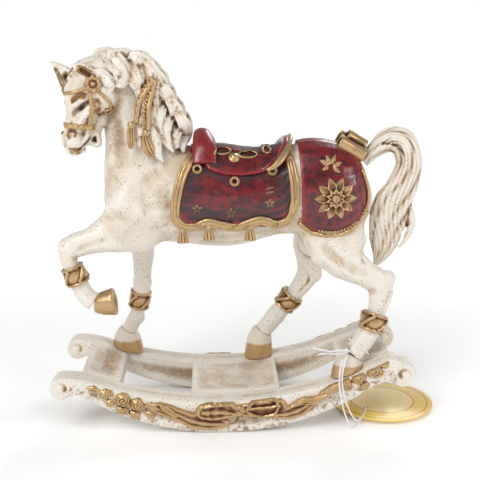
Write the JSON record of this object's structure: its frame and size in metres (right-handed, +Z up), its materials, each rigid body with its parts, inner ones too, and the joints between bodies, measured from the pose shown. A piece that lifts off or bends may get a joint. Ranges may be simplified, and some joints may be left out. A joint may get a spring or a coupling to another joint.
{
  "type": "rocking horse figurine",
  "caption": "Cast rocking-horse ornament: a trotting horse with saddle cloths and gold relief on two curved rockers joined by cross boards, with a card tag on a string.",
  "frame": {"origin": "ground point under the middle of the figurine's box, between the rockers; the tag and its string are left out of that box", "axes": "+Z up, the horse faces -X, its left side is at -Y"},
  "size_m": [0.2105, 0.0742, 0.1977],
  "materials": {
    "antique_ivory": "cast resin, satin ivory paint with brown wash and fly-specks",
    "antique_gold": "warm antique gold paint, brown in the recesses",
    "red_enamel": "deep red gloss enamel with dark mottling",
    "dark_eye_enamel": "gloss dark brown",
    "pin_steel": "plain wire",
    "elastic_string": "white elastic cord",
    "tag_card": "printed yellow card, satin"
  },
  "bodies": {
    "root": {"cantle_rim": "antique_gold", "crupper_bow": "antique_gold", "forelock": "antique_ivory", "front_board": "antique_ivory", "hang_tag": "tag_card", "head_and_neck": "antique_ivory", "left_bridle_rosette": "antique_gold", "left_cheek_strap": "antique_gold", "left_cloth_trim": "antique_gold", "left_eye": "dark_eye_enamel", "left_fore_hoof": "antique_gold", "left_foreleg": "antique_ivory", "left_foreleg_cuff": "antique_gold", "left_front_mane_cord": "antique_gold", "left_front_roses": "antique_gold", "left_hind_cuff": "antique_gold", "left_hind_hoof": "antique_gold", "left_hind_leg": "antique_ivory", "left_hind_pin": "pin_steel", "left_rear_mane_cord": "antique_gold", "left_rear_roses": "antique_gold", "left_ribbon_swag": "antique_gold", "left_rocker": "antique_ivory", "left_rump_rosette": "antique_gold", "left_rump_trim": "antique_gold", "mane": "antique_ivory", "middle_board": "antique_ivory", "noseband": "antique_gold", "rear_board": "antique_ivory", "right_bridle_rosette": "antique_gold", "right_cheek_strap": "antique_gold", "right_cloth_trim": "antique_gold", "right_eye": "dark_eye_enamel", "right_fore_hoof": "antique_gold", "right_fore_pin": "pin_steel", "right_foreleg": "antique_ivory", "right_foreleg_cuff": "antique_gold", "right_front_mane_cord": "antique_gold", "right_front_roses": "antique_gold", "right_hind_cuff": "antique_gold", "right_hind_hoof": "antique_gold", "right_hind_leg": "antique_ivory", "right_hind_pin": "pin_steel", "right_rear_mane_cord": "antique_gold", "right_rear_roses": "antique_gold", "right_ribbon_swag": "antique_gold", "right_rocker": "antique_ivory", "right_rump_rosette": "antique_gold", "right_rump_trim": "antique_gold", "rump_cloth": "red_enamel", "saddle": "red_enamel", "saddle_cloth": "red_enamel", "string_knot": "elastic_string", "string_loop": "elastic_string", "tag_string": "elastic_string", "tail": "antique_ivory", "torso": "antique_ivory"}
  },
  "joints": []
}
